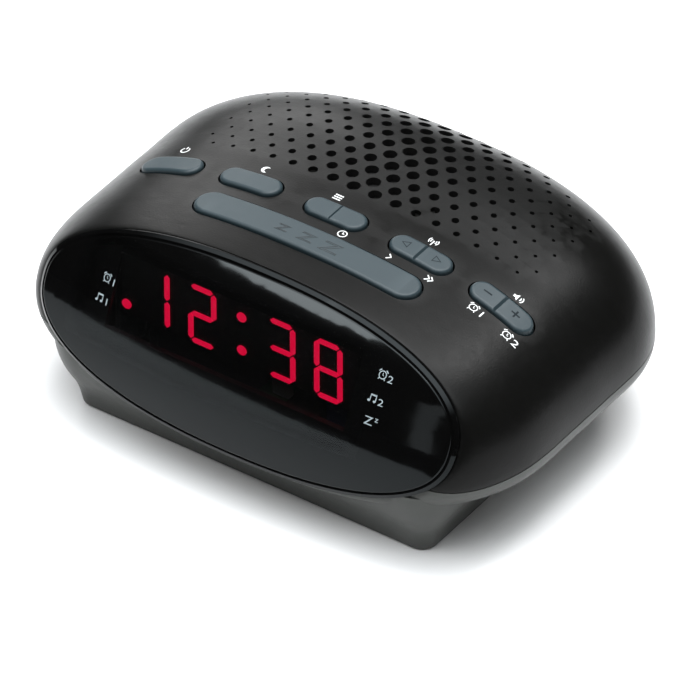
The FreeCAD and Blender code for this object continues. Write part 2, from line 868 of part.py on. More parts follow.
def through(body, name, outline):
    """Cut an outline on the XZ plane right through a body."""
    before = body.Shape.Volume
    pocket = body.newObject("PartDesign::Pocket", name)
    pocket.Profile = outline
    pocket.Midplane = True
    bind(pocket, "Length", named("key_depth") * 2)
    doc.recompute()
    if body.Shape.Volume > before - 0.5:
        raise RuntimeError(name + " cuts nothing")


def make_keys():
    length = named("key_length")
    depth = named("key_depth")
    push_key("power_key", *SWITCHES["power"], length, depth)
    push_key("sleep_key", *SWITCHES["sleep"], length, depth)
    preset = push_key("preset_key", *SWITCHES["preset"], length, depth)
    crest = named("crown_height") + named("key_proud")
    line = sketch(preset, "preset_key_line_outline", "XZ_Plane", [(-0.35, crest + 0.2), (0, crest - 0.45),
                                                                   (0.35, crest + 0.2)])
    through(preset, "preset_key_line", line)
    push_key("snooze_bar", *SWITCHES["snooze"], named("snooze_length"), named("snooze_depth"))
    for name, alias in ROCKERS.items():
        rocker(name + "_rocker", alias)
        pin = doc.addObject("Part::Cylinder", name + "_pin_rod")
        bind(pin, "Radius", named("pivot_radius"))
        pin.Height = 2 * EAR_END
        pin.Placement.Rotation = FreeCAD.Rotation(Vector(1, 0, 0), 90)
        place(pin, named(alias), key_y + EAR_END, round(pivot_height(alias), 2))
        node(pin, name + "_pin")


# ---------------------------------------------------------------- switches and boards
def make_switches():
    housings = []
    width = named("switch_width")
    height = named("switch_height")
    radius = named("plunger_radius")
    depth = 1.5
    for name, (x, y) in SWITCHES.items():
        block_of = box(name + "_switch_block", x, y, key_board_top, width, width, height)
        bore = cylinder(name + "_switch_bore", x, y, key_board_top + height - depth - 0.3,
                        radius + 0.05, Size(depth + 1, repr(depth + 1)))
        housings.append(cut(name + "_switch_housing", block_of, bore))
        plunger = cylinder(name + "_plunger_rod", x, y, key_board_top + height - depth + 0.05,
                           radius, named("plunger_height") + depth - 0.05)
        node(plunger, name + "_plunger")
    node(grouped("housings", housings), "switch_housings")


def make_boards():
    half = named("key_board_width") / 2
    reach = named("key_board_depth") / 2
    middle = named("key_board_y")
    hole = named("small_screw_radius") + 0.15
    plate("key_board", -half, half, middle - reach, middle + reach, key_board_top - board, board,
          [(x, y, hole) for x, y in KEY_BOARD_SCREWS])
    half = named("main_board_width") / 2
    reach = named("main_board_depth") / 2
    x = named("main_board_x")
    y = named("main_board_y")
    top = named("main_board_top")
    plate("main_board", x - half, x + half, y - reach, y + reach, top - board, board,
          [(a, b, hole) for a, b in board_screw_places])
    node(box("tuner_block", x + 9.5, y + 6, top, 14, 12, 5.5), "tuner_can")
    chips = [box("radio_chip", x - 2, y + 6, top, 7.5, 10, 2.2),
             box("clock_chip", x - 8, y - 5, top, 9, 15, 2.6)]
    node(grouped("chips", chips), "ic_packages")
    cans = [cylinder("supply_capacitor", x + 12, y - 8, top, 5, 11),
            cylinder("audio_capacitor", x + 3, y - 9, top, 4, 9),
            cylinder("coupling_capacitor", x - 12, y + 10, top, 2.5, 8)]
    node(grouped("cans", cans), "capacitors")
    node(box("heatsink_block", x + 4, y + 13, top, 12, 1.2, 12), "regulator_heatsink")
    display_rear = named("display_face_y") + named("display_depth") + board
    ribbons = [box("display_ribbon", x - 16, display_rear + 0.25, top, 5.6, 0.4, 20),
               box("key_ribbon", x + 16, y - 1.5, top, 10, 0.4, key_board_top - board - top)]
    node(grouped("ribbons", ribbons), "ribbon_cables")


# ---------------------------------------------------------------- speaker
def make_speaker():
    y = named("speaker_y")
    top = named("speaker_top")
    rim = named("speaker_radius")
    floor = top - named("speaker_depth")
    plate_top = floor + named("magnet_height")
    coil = named("coil_radius")
    cone = named("cone_radius")
    seat = cone + 1.8
    frame = turned("speaker_frame", [
        (coil + 0.6, plate_top), (coil + 7.7, plate_top), (seat + 1.2, top - 1.8), (rim, top - 1.8),
        (rim, top), (seat, top), (seat, top - 1.4), (coil + 6.9, plate_top + 1.3),
        (coil + 0.6, plate_top + 1.3)], 0, y)
    holes = [(a, b - y, named("small_screw_radius") + 0.15) for a, b in speaker_screw_places]
    for index, (a, b, radius) in enumerate(holes):
        circle = sketch(frame, "speaker_hole_circle_%d" % index, "XY_Plane", [],
                        [(Size(a, repr(a)), b, radius)], height=top + 1)
        pocket = frame.newObject("PartDesign::Pocket", "speaker_hole_%d" % index)
        pocket.Profile = circle
        pocket.Length = 4
        doc.recompute()
    magnet = named("magnet_radius")
    turned("speaker_magnet", [
        (0, floor), (magnet, floor), (magnet, plate_top), (coil + 0.7, plate_top),
        (coil + 0.7, floor + 1.5), (coil - 0.7, floor + 1.5), (coil - 0.7, plate_top + 0.6),
        (0, plate_top + 0.6)], 0, y)
    turned("speaker_cone", [
        (coil - 0.35, floor + 2.4), (coil + 0.25, floor + 2.4), (coil + 0.25, plate_top + 2.4),
        (cone, top - 1.6), (cone, top - 1.0), (coil - 0.35, plate_top + 2.9)], 0, y)
    turned("speaker_surround", [
        (cone - 0.4, top - 0.98), (seat - 0.02, top - 0.98), (seat - 0.02, top - 0.6),
        ((cone + seat) / 2, top), (cone - 0.4, top - 0.6)], 0, y)
    cap_floor = plate_top + 2.95
    turned("speaker_dust_cap", [
        (0, cap_floor), (coil - 0.4, cap_floor), (coil * 0.65, cap_floor + 1.4),
        (coil * 0.3, cap_floor + 2.0), (0, cap_floor + 2.2)], 0, y)


def make_speaker_cloth():
    """Thin cloth under the speaker holes, curved like the inside of the shell."""
    sheet_of = case_form(WALL + 0.15, 2.0).cut(case_form(WALL + 0.55, 2.4))
    area = block(-45.5, 45.5, 0.4, 46.0, 38.0, 60)
    posts = [rod(2.6, x, number(y), 30, 60) for x, y in speaker_screw_places]
    posts += [rod(3.8, number(x), number(y), 30, 60) for x, y in case_screw_places]
    return feature("speaker_cloth", sheet_of.common(area).cut(posts))


# ---------------------------------------------------------------- battery bay
def make_battery_door():
    body = new_body("battery_door")
    foot = named("foot_proud")
    x = named("bay_x")
    low = foot + 0.1
    step = foot + CHANNEL_LIP + 0.15
    high = step + 0.85
    inner_reach = door_reach
    outer_reach = door_reach + 1.2
    corners = [(x - inner_reach, low), (x + inner_reach, low), (x + inner_reach, step),
               (x + outer_reach, step), (x + outer_reach, high), (x - outer_reach, high),
               (x - outer_reach, step), (x - inner_reach, step)]
    outline = sketch(body, "door_section", "XZ_Plane", corners)
    length = named("pedestal_rear") - channel_front - 0.2
    pad(body, "door_panel", outline, length)
    place(body, 0, named("pedestal_rear"))


def make_battery_clip():
    x = named("bay_x")
    front = named("bay_y") - named("bay_length") / 2
    height = named("bay_top") / 2 + 2
    plate_of = box("clip_plate", x, front + 0.5, Size(5.0, "5"), 24, 1.0, 14)
    studs = []
    for name, shift, radius in (("clip_stud", -6.35, 2.8), ("clip_socket", 6.35, 3.3)):
        stud = doc.addObject("Part::Cylinder", name)
        stud.Radius = radius
        stud.Height = 2.0
        stud.Placement.Rotation = FreeCAD.Rotation(Vector(1, 0, 0), -90)
        place(stud, x + shift, front + 1.0, height)
        studs.append(stud)
    node(fused("clip", [plate_of] + studs), "battery_clip")


# ---------------------------------------------------------------- transformer, feet and screws
def make_transformer():
    x = named("transformer_x")
    y = named("transformer_y")
    bottom = named("foot_proud") + named("wall")
    width = named("transformer_width")
    length = named("transformer_length")
    height = named("transformer_height")
    bobbin_width = width - 4
    window = box("bobbin_window", x, y, bottom + 5, width + 2, length - 10, height - 10)
    core_block = box("core_block", x, y, bottom, width - 8, length, height)
    node(cut("transformer_stack", core_block, window), "transformer_core")
    bobbin = box("bobbin_block", x, y, bottom + 5.1, bobbin_width, length - 10.2, height - 10.2)
    node(bobbin, "transformer_bobbin")


def screw(name, x, y, head_bottom, head_radius, head_height, radius, length, upwards=True):
    """A plain screw: a round head with a shaft above it, or below it when it goes down."""
    head = cylinder(name + "_head", x, y, head_bottom, head_radius, head_height)
    shaft_foot = head_bottom + head_height if upwards else head_bottom - length
    shaft = cylinder(name + "_shaft", x, y, shaft_foot, radius, length)
    return fused(name, [head, shaft])


def make_screws():
    case = []
    for index, (x, y) in enumerate(case_screw_places):
        head_bottom = Size(10.3, "10.3")
        radius = named("case_screw_radius")
        case.append(screw("case_screw_%d" % index, x, y, head_bottom, 2.7, 2.2, radius, 11))
    node(grouped("case_screw_set", case), "case_screws")
    small = named("small_screw_radius")
    keys = []
    for index, (x, y) in enumerate(KEY_BOARD_SCREWS):
        head_bottom = key_board_top - board - 1.4
        place_x = Size(x, repr(x))
        place_y = Size(y, repr(y))
        keys.append(screw("key_board_screw_%d" % index, place_x, place_y, head_bottom, 1.8, 1.4, small, 6))
    node(grouped("key_board_screw_set", keys), "key_board_screws")
    boards = []
    for index, (x, y) in enumerate(board_screw_places):
        boards.append(screw("board_screw_%d" % index, x, y, named("main_board_top"), 1.8, 1.4, small, 6,
                            upwards=False))
    node(grouped("board_screw_set", boards), "board_screws")
    speaker = []
    for index, (x, y) in enumerate(speaker_screw_places):
        head_bottom = named("speaker_top") - 3.1
        label = "speaker_screw_%d" % index
        speaker.append(screw(label, Size(x, repr(x)), y, head_bottom, 1.3, 1.3, small, 5.5))
    node(grouped("speaker_screw_set", speaker), "speaker_screws")


def make_feet():
    pads = []
    for index, (x, y) in enumerate(foot_places):
        thickness = named("foot_proud") + 0.5
        pads.append(cylinder("foot_%d" % index, x, y, 0, named("foot_diameter") / 2, thickness))
    node(grouped("feet", pads), "rubber_feet")


# ---------------------------------------------------------------- build and write
make_top_shell()
make_bottom_shell()
make_front_lens()
make_display_mask()
make_display()
make_time_digits()
make_keys()
make_switches()
make_boards()
make_speaker()
make_speaker_cloth()
make_battery_door()
make_battery_clip()
make_transformer()
make_screws()
make_feet()
doc.recompute()

for obj in doc.Objects:
    if "Invalid" in obj.State or "Error" in obj.State:
        raise RuntimeError(obj.Name + " failed")
for obj in nodes:
    if obj.Shape.isNull() or not obj.Shape.isValid():
        raise RuntimeError(obj.Label + " is not a valid shape")

os.makedirs("parts", exist_ok=True)
for obj in nodes:
    obj.Shape.exportStep("parts/%s.step" % obj.Label)
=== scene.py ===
import math

import bmesh
import bpy
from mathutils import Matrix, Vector
from mathutils.bvhtree import BVHTree


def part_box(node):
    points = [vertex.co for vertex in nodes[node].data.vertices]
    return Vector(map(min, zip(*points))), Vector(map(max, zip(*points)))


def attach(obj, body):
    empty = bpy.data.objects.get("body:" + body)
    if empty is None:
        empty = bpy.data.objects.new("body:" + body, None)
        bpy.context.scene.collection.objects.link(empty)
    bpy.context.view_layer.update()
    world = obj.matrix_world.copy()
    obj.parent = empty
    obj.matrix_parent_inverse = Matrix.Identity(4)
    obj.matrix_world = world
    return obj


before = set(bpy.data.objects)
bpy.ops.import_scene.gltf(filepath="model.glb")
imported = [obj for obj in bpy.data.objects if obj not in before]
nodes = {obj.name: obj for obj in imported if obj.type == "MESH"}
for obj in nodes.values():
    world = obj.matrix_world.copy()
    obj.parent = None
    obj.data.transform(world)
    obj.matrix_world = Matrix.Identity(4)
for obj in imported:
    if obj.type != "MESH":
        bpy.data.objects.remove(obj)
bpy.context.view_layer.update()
scene = bpy.context.scene

MM = 0.001
ACROSS = Vector((1, 0, 0))
BACK = Vector((0, 1, 0))
UP = Vector((0, 0, 1))


def middle_of(name):
    """The middle of a CAD node's box."""
    low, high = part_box(name)
    return (low + high) / 2


# ------------------------------------------------------------------ camera and lights
VIEW_AZIMUTH = 35.0
VIEW_ELEVATION = 38.2
VIEW_DISTANCE = 2.884
VIEW_TARGET = Vector((0.01357, -0.02156, 0.030))
FOCAL_LENGTH = 660.0
SENSOR_WIDTH = 36.0

# Name, azimuth and elevation in degrees, distance, width and height in metres, watts.
LIGHTS = [
    ("overhead_softbox", 190, 72, 0.75, 0.6, 0.6, 4.5),
    ("front_softbox", -28, 44.5, 0.80, 0.42, 0.063, 1.2),
    ("back_softbox", 158, 51, 0.85, 0.16, 0.16, 1.2),
    ("left_softbox", 223, 21, 0.90, 0.28, 0.392, 1.6),
    ("front_strip", -7.5, 9, 1.3, 0.055, 0.66, 0.17),
    ("shadow_fill", 85, 16, 0.9, 0.5, 0.5, 1.0)]
LIT_MIDDLE = Vector((0, 0, 0.03))

SKY_STARTS = 0.68
WALL_STRENGTH = 0.01
CEILING_STRENGTH = 5.5
ROOM_COLOR = (0.95, 0.98, 1.0, 1)


def aim(item, target, azimuth, elevation, distance):
    """Place an object away from a target and turn it to look there; the angles are in degrees."""
    turn = math.radians(azimuth)
    rise = math.radians(elevation)
    flat = math.cos(rise)
    outwards = Vector((math.sin(turn) * flat, -math.cos(turn) * flat, math.sin(rise)))
    item.location = target + outwards * distance
    item.rotation_euler = (-outwards).to_track_quat("-Z", "Y").to_euler()
    scene.collection.objects.link(item)


def make_camera():
    data = bpy.data.cameras.new("camera")
    data.lens = FOCAL_LENGTH
    data.sensor_width = SENSOR_WIDTH
    camera = bpy.data.objects.new("camera", data)
    aim(camera, VIEW_TARGET, VIEW_AZIMUTH, VIEW_ELEVATION, VIEW_DISTANCE)
    scene.camera = camera


def make_lights():
    """Softboxes, and a fill that lights matt surfaces but shows in no reflection."""
    for name, azimuth, elevation, distance, width, height, power in LIGHTS:
        data = bpy.data.lights.new(name, "AREA")
        data.shape = "RECTANGLE"
        data.size = width
        data.size_y = height
        data.energy = power
        lamp = bpy.data.objects.new(name, data)
        lamp.visible_glossy = name != "shadow_fill"
        aim(lamp, LIT_MIDDLE, azimuth, elevation, distance)


def make_world():
    """A room that is bright overhead and dark towards its walls."""
    world = bpy.data.worlds.new("studio")
    world.use_nodes = True
    tree = world.node_tree
    coordinates = tree.nodes.new("ShaderNodeTexCoord")
    split = tree.nodes.new("ShaderNodeSeparateXYZ")
    ramp = tree.nodes.new("ShaderNodeMapRange")
    ramp.interpolation_type = "SMOOTHSTEP"
    ramp.inputs["From Min"].default_value = SKY_STARTS
    ramp.inputs["From Max"].default_value = 1.0
    ramp.inputs["To Min"].default_value = WALL_STRENGTH
    ramp.inputs["To Max"].default_value = CEILING_STRENGTH
    tree.links.new(coordinates.outputs["Generated"], split.inputs[0])
    tree.links.new(split.outputs["Z"], ramp.inputs["Value"])
    tree.links.new(ramp.outputs[0], tree.nodes["Background"].inputs["Strength"])
    tree.nodes["Background"].inputs["Color"].default_value = ROOM_COLOR
    scene.world = world
    scene.view_settings.view_transform = "Standard"


# ------------------------------------------------------------------ materials
class Shader:
    """A Principled material with the few node helpers that the materials below share."""

    def __init__(self, name, color, roughness, metallic=0.0):
        self.material = bpy.data.materials.new(name)
        self.material.use_nodes = True
        self.tree = self.material.node_tree
        self.sockets = self.tree.nodes["Principled BSDF"].inputs
        self.fixed({"Base Color": (*color, 1), "Roughness": roughness, "Metallic": metallic})
        self.position = self.node("ShaderNodeTexCoord").outputs["Object"]

    def fixed(self, values):
        """Set sockets that are the same all over the surface."""
        for name, value in values.items():
            self.sockets[name].default_value = value

    def node(self, kind, **settings):
        node = self.tree.nodes.new(kind)
        for name, value in settings.items():
            setattr(node, name, value)
        return node

    def link(self, output, target):
        self.tree.links.new(output, target)

    def fill(self, target, item):
        """Give a socket a number or link an output to it."""
        if isinstance(item, (int, float)):
            target.default_value = item
        elif isinstance(item, tuple):
            target.default_value = (*item, 1)
        else:
            self.link(item, target)

    def calculate(self, operation, *values):
        node = self.node("ShaderNodeMath", operation=operation)
        for target, value in zip(node.inputs, values):
            self.fill(target, value)
        return node.outputs[0]

    def noise(self, scale, detail=3.0, roughness=0.55, stretch=(1, 1, 1)):
        """Noise whose grains are about one over scale metres wide."""
        mapping = self.node("ShaderNodeMapping")
        mapping.inputs["Scale"].default_value = stretch
        self.link(self.position, mapping.inputs["Vector"])
        noise = self.node("ShaderNodeTexNoise")
        noise.inputs["Scale"].default_value = scale
        noise.inputs["Detail"].default_value = detail
        noise.inputs["Roughness"].default_value = roughness
        self.link(mapping.outputs[0], noise.inputs["Vector"])
        return noise.outputs["Fac"]

    def wave(self, axis, scale):
        node = self.node("ShaderNodeTexWave", bands_direction=axis)
        node.inputs["Scale"].default_value = scale
        self.link(self.position, node.inputs["Vector"])
        return node.outputs["Fac"]

    def spread(self, value, low, high, from_low=0.3, from_high=0.7):
        """Map a value to a range."""
        node = self.node("ShaderNodeMapRange")
        node.inputs["From Min"].default_value = from_low
        node.inputs["From Max"].default_value = from_high
        node.inputs["To Min"].default_value = low
        node.inputs["To Max"].default_value = high
        self.link(value, node.inputs["Value"])
        return node.outputs[0]

    def blend(self, factor, first, second):
        """Mix two colours, each a tuple or an output."""
        node = self.node("ShaderNodeMix", data_type="RGBA")
        self.fill(node.inputs[6], first)
        self.fill(node.inputs[7], second)
        self.link(factor, node.inputs[0])
        return node.outputs[2]

    def edges(self):
        """One along sharp outer edges, nothing elsewhere."""
        geometry = self.node("ShaderNodeNewGeometry")
        return self.spread(geometry.outputs["Pointiness"], 0, 1, from_low=0.52, from_high=0.60)

    def color(self, output):
        self.link(output, self.sockets["Base Color"])

    def roughness(self, output):
        self.link(output, self.sockets["Roughness"])

    def bump(self, height, strength, distance):
        node = self.node("ShaderNodeBump")
        node.inputs["Strength"].default_value = strength
        node.inputs["Distance"].default_value = distance
        self.link(height, node.inputs["Height"])
        self.link(node.outputs[0], self.sockets["Normal"])


def moulded(name, color, roughness, grain=2600, depth=0.25, tint=1.25, wear=1.8):
    """Moulded plastic with a fine spark texture, soft mottling and rubbed edges."""
    made = Shader(name, color, roughness)
    lighter = tuple(part * tint for part in color)
    worn = tuple(min(1.0, part * wear + 0.006) for part in color)
    mottled = made.blend(made.spread(made.noise(90, detail=4), 0, 1), color, lighter)
    made.color(made.blend(made.edges(), mottled, worn))
    made.roughness(made.spread(made.noise(450, detail=4), roughness - 0.02, roughness + 0.03))
    made.bump(made.noise(grain, detail=2, roughness=0.6), depth, distance=0.06 * MM)
    return made


def metal(name, color, roughness, brush=(1, 1, 1)):
    """Metal with brush marks, which run across the axes along which the brush number is high."""
    made = Shader(name, color, roughness, metallic=1.0)
    darker = tuple(part * 0.7 for part in color)
    streaks = made.noise(1500, detail=4, roughness=0.6, stretch=brush)
    made.color(made.blend(made.spread(streaks, 0, 1), darker, color))
    made.roughness(made.spread(streaks, roughness - 0.06, roughness + 0.1))
    made.bump(streaks, strength=0.15, distance=0.04 * MM)
    return made


# How far the clear window of the lens lies off the display's middle, how far it reaches past the
# display's edges and how wide its own faded edge is, in millimetres, across and upwards.
WINDOW_SHIFT = (-0.6, 1.4)
WINDOW_MARGIN = (3.5, 1.9)
WINDOW_FADE = (5.0, 1.5)
WINDOW_ALPHA = 0.62


def smoked_lens():
    """Smoked acrylic: a clear window before the digits, painted black behind all around it."""
    made = Shader("smoked_acrylic", (0.002, 0.002, 0.002), 0.02)
    made.fixed({"Alpha": WINDOW_ALPHA, "IOR": 1.49, "Specular IOR Level": 0.24,
                "Specular Tint": (0.86, 0.96, 1.0, 1)})
    split = made.node("ShaderNodeSeparateXYZ")
    made.link(made.position, split.inputs[0])
    low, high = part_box("display_module")
    outside = []
    for axis, shift, margin, fade in zip((0, 2), WINDOW_SHIFT, WINDOW_MARGIN, WINDOW_FADE):
        middle = (low[axis] + high[axis]) / 2 + shift * MM
        half = (high[axis] - low[axis]) / 2 + margin * MM
        distance = made.calculate("ABSOLUTE", made.calculate("SUBTRACT", split.outputs[axis], middle))
        outside.append(made.spread(distance, 0, 1, from_low=half, from_high=half + fade * MM))
    painted = made.calculate("MAXIMUM", *outside)
    made.link(made.spread(painted, WINDOW_ALPHA, 1, 0, 1), made.sockets["Alpha"])
    made.link(made.spread(painted, 0.27, 0.165, 0, 1), made.sockets["Specular IOR Level"])
    smears = made.noise(45, detail=5, roughness=0.6, stretch=(1, 1, 2.5))
    made.roughness(made.spread(smears, 0.05, 0.09, from_low=0.35, from_high=0.75))
    return made


def lit_segments():
    made = Shader("lit_segments", (0.6, 0.01, 0.03), 0.35)
    made.fixed({"Emission Strength": 4.0})
    glow = made.spread(made.noise(1600, detail=2), 0, 1)
    made.link(made.blend(glow, (0.95, 0.0, 0.045), (1.0, 0.008, 0.075)), made.sockets["Emission Color"])
    return made


# Flat colour with a faint speckle: real print, and also the dark key marks that are painted shade.
def printed(name, color):
    made = Shader(name, color, 0.5)
    dim = tuple(part * 0.82 for part in color)
    made.color(made.blend(made.spread(made.noise(2200), 0, 1), dim, color))
    made.bump(made.noise(4000, detail=2), strength=0.2, distance=0.02 * MM)
    return made


def board_laminate():
    """Green board with the pattern of its tracks under the lacquer."""
    made = Shader("board_laminate", (0.03, 0.16, 0.06), 0.35)
    tracks = made.node("ShaderNodeTexBrick")
    made.link(made.position, tracks.inputs["Vector"])
    tracks.inputs["Scale"].default_value = 260
    tracks.inputs["Color1"].default_value = (0.02, 0.13, 0.045, 1)
    tracks.inputs["Color2"].default_value = (0.03, 0.18, 0.07, 1)
    tracks.inputs["Mortar"].default_value = (0.06, 0.26, 0.1, 1)
    made.color(tracks.outputs["Color"])
    made.bump(tracks.outputs["Fac"], strength=0.2, distance=0.03 * MM)
    made.roughness(made.spread(made.noise(600), 0.28, 0.45))
    return made


def woven(name, color, pitch):
    """Fine woven cloth."""
    made = Shader(name, color, 0.9)
    threads = made.calculate("MULTIPLY", made.wave("X", pitch), made.wave("Y", pitch))
    lighter = tuple(part * 2.2 for part in color)
    made.color(made.blend(threads, color, lighter))
    made.bump(threads, strength=0.5, distance=0.1 * MM)
    return made


def laminations():
    """The stacked sheets of a transformer core."""
    made = Shader("laminations", (0.3, 0.3, 0.31), 0.45, metallic=0.8)
    sheets = made.wave("X", 600)
    made.color(made.blend(sheets, (0.12, 0.12, 0.13), (0.35, 0.35, 0.36)))
    made.bump(sheets, strength=0.4, distance=0.1 * MM)
    return made


def dress(shader, *names):
    """Give CAD nodes their finished material."""
    for name in names:
        materials = nodes[name].data.materials
        materials.clear()
        materials.append(shader.material)


def dress_case():
    case = moulded("case_plastic", (0.003, 0.003, 0.0028), 0.3, grain=2300, depth=0.42, tint=1.15, wear=1.2)
    case.fixed({"Specular IOR Level": 0.10})
    dress(case, "top_shell")
    # The bottom shell is lighter grey than the case: partly its own colour, partly a painted reflection of
    # the bright floor on the pedestal.
    base = moulded("base_plastic_with_painted_floor_reflection", (0.055, 0.057, 0.054), 0.36, grain=2300, depth=0.5, tint=1.1, wear=1.15)
    base.fixed({"Specular IOR Level": 0.14})
    dress(base, "bottom_shell", "battery_door")
    dress(smoked_lens(), "front_lens")
    dress(moulded("foot_rubber", (0.02, 0.02, 0.02), 0.8, grain=1500, depth=0.5, tint=1.4, wear=1.5),
          "rubber_feet")


def dress_keys():
    keys = moulded("key_plastic", (0.0215, 0.034, 0.04), 0.42, grain=3200, depth=0.12, tint=1.06, wear=1.15)
    keys.fixed({"Specular IOR Level": 0.3})
    dress(keys, "power_key", "sleep_key", "preset_key", "snooze_bar", "tuning_rocker", "volume_rocker")
    plungers = [name for name in nodes if name.endswith("_plunger")]
    dress(moulded("nylon", (0.35, 0.33, 0.3), 0.5, tint=1.1, wear=1.1), *plungers)


def dress_electronics():
    dress(lit_segments(), "time_digits")
    dress(moulded("inner_black", (0.006, 0.006, 0.006), 0.7, depth=0.15, tint=1.5, wear=1.2),
          "display_mask", "display_module", "switch_housings", "ic_packages")
    dress(board_laminate(), "display_board", "key_board", "main_board")
    dress(metal("tin_plate", (0.62, 0.62, 0.6), 0.3, brush=(1, 8, 1)), "tuner_can")
    dress(metal("plain_aluminium", (0.7, 0.7, 0.72), 0.35, brush=(8, 1, 1)), "regulator_heatsink")
    dress(metal("nickel", (0.6, 0.57, 0.5), 0.28), "battery_clip")
    dress(moulded("capacitor_sleeve", (0.02, 0.03, 0.1), 0.25, depth=0.05), "capacitors")
    dress(moulded("ribbon_grey", (0.4, 0.4, 0.39), 0.5), "ribbon_cables")
    dress(laminations(), "transformer_core")
    dress(moulded("winding_tape", (0.6, 0.42, 0.06), 0.35), "transformer_bobbin")


def dress_speaker():
    dress(moulded("speaker_black", (0.02, 0.02, 0.02), 0.45), "speaker_frame", "speaker_magnet")
    dress(moulded("rolled_rubber", (0.015, 0.015, 0.015), 0.6), "speaker_surround")
    dress(woven("cone_paper", (0.03, 0.03, 0.03), pitch=900), "speaker_cone", "speaker_dust_cap")
    dress(woven("dust_cloth", (0.004, 0.004, 0.004), pitch=700), "speaker_cloth")


def dress_hardware():
    dress(metal("zinc_steel", (0.55, 0.55, 0.56), 0.35), "case_screws", "key_board_screws", "board_screws",
          "speaker_screws", "tuning_pin", "volume_pin")


# ------------------------------------------------------------------ floor
FLOOR_RADIUS = 0.8
CARD_HALF_WIDTH = 0.7
CARD_HEIGHT = 0.036
CARD_Y = -0.225


def stage_mesh(name, maker, shader):
    """Turn a bmesh into a staging object that isn't part of the radio."""
    mesh = bpy.data.meshes.new(name)
    maker.to_mesh(mesh)
    maker.free()
    mesh.materials.append(shader.material)
    staged = bpy.data.objects.new(name, mesh)
    scene.collection.objects.link(staged)
    return staged


def make_floor():
    """A round white table top."""
    shader = Shader("floor_white", (0.86, 0.86, 0.86), 0.7)
    cloudy = shader.spread(shader.noise(3, detail=2), 0, 1)
    shader.color(shader.blend(cloudy, (0.87, 0.87, 0.87), (0.88, 0.88, 0.88)))
    maker = bmesh.new()
    bmesh.ops.create_circle(maker, cap_ends=True, segments=96, radius=FLOOR_RADIUS)
    stage_mesh("floor", maker, shader)


def make_card():
    """A low black card in front, which only shows as a reflection in the lens."""
    maker = bmesh.new()
    maker.faces.new([maker.verts.new(corner) for corner in (
        (-CARD_HALF_WIDTH, CARD_Y, 0), (CARD_HALF_WIDTH, CARD_Y, 0),
        (CARD_HALF_WIDTH, CARD_Y, CARD_HEIGHT), (-CARD_HALF_WIDTH, CARD_Y, CARD_HEIGHT))])
    card = stage_mesh("black_card", maker, Shader("card_black", (0.005, 0.005, 0.005), 0.9))
    card.visible_camera = False
    card.visible_shadow = False


# ------------------------------------------------------------------ flat shapes
def flat_text(words, height, widen, outline=0.0):
    """Text as vertices and faces about its own middle, filled or as an outline of round wire."""
    capital = 0.7
    curve = bpy.data.curves.new("words", "FONT")
    curve.body = words
    curve.align_x = "CENTER"
    curve.align_y = "CENTER"
    curve.resolution_u = 4
    if outline:
        curve.fill_mode = "NONE"
        curve.bevel_depth = outline / height * capital
        curve.bevel_resolution = 1
    holder = bpy.data.objects.new("words", curve)
    scene.collection.objects.link(holder)
    bpy.context.view_layer.update()
    mesh = bpy.data.meshes.new_from_object(holder.evaluated_get(bpy.context.evaluated_depsgraph_get()))
    scale = height / capital
    points = [Vector((v.co.x * scale * widen, v.co.y * scale, v.co.z * scale)) for v in mesh.vertices]
    faces = [tuple(face.vertices) for face in mesh.polygons]
    bpy.data.objects.remove(holder)
    bpy.data.curves.remove(curve)
    bpy.data.meshes.remove(mesh)
    return points, faces


def ribbon(path, width, closed=False):
    """A flat line of a width along a path of (x, y) points."""
    count = len(path)
    points = []
    for index, (x, y) in enumerate(path):
        before = Vector(path[index - 1] if index or closed else path[0])
        after = Vector(path[(index + 1) % count] if index < count - 1 or closed else path[-1])
        along = (after - before).normalized()
        side = Vector((-along.y, along.x)) * width / 2
        points.append(Vector((x + side.x, y + side.y, 0)))
        points.append(Vector((x - side.x, y - side.y, 0)))
    faces = []
    for index in range(count if closed else count - 1):
        following = (index + 1) % count
        faces.append((2 * index, 2 * index + 1, 2 * following + 1, 2 * following))
    return points, faces


def strip(first, second):
    """The flat area between two paths that have the same number of points."""
    points = [Vector((x, y, 0)) for x, y in first + second]
    count = len(first)
    return points, [(step, step + 1, count + step + 1, count + step) for step in range(count - 1)]


def arc(centre, radius, start, end, steps=24, squeeze=1.0):
    """A path of (x, y) points between two angles in degrees, flattened by the squeeze."""
    path = []
    for index in range(steps + 1):
        angle = math.radians(start + (end - start) * index / steps)
        path.append((centre[0] + radius * math.cos(angle), centre[1] + radius * math.sin(angle) * squeeze))
    return path


def ring(radius, width):
    return ribbon(arc((0, 0), radius, 0, 360)[:-1], width, closed=True)


def disc(centre, radius, squeeze=1.0):
    rim = arc(centre, radius, 0, 360, 20, squeeze)[:-1]
    return [Vector((x, y, 0)) for x, y in rim], [tuple(range(len(rim)))]


def merged(shapes):
    points = []
    faces = []
    for more_points, more_faces in shapes:
        start = len(points)
        points += more_points
        faces += [tuple(index + start for index in face) for face in more_faces]
    return points, faces


def scaled(shape, factor, shift=(0, 0)):
    points, faces = shape
    return [Vector((p.x * factor + shift[0], p.y * factor + shift[1], p.z)) for p in points], faces


# Each icon below is drawn about 2 units across.
def clock_icon():
    """An alarm clock with bells and feet."""
    shapes = [ring(0.76, 0.17), ribbon([(0, 0.42), (0, 0), (0.26, -0.16)], 0.13)]
    for side in (-1, 1):
        shapes.append(ribbon(arc((0, 0), 1.12, 90 - side * 60, 90 - side * 26, 8), 0.22))
        shapes.append(ribbon([(side * 0.5, -0.66), (side * 0.74, -0.98)], 0.16))
    return merged(shapes)


def note_icon():
    """Two beamed notes."""
    return merged([disc((-0.72, -0.62), 0.3, 0.8), disc((0.48, -0.62), 0.3, 0.8),
                   ribbon([(-0.5, -0.6), (-0.5, 0.72), (0.7, 0.72), (0.7, -0.6)], 0.2),
                   ribbon([(-0.5, 0.6), (0.7, 0.6)], 0.3)])


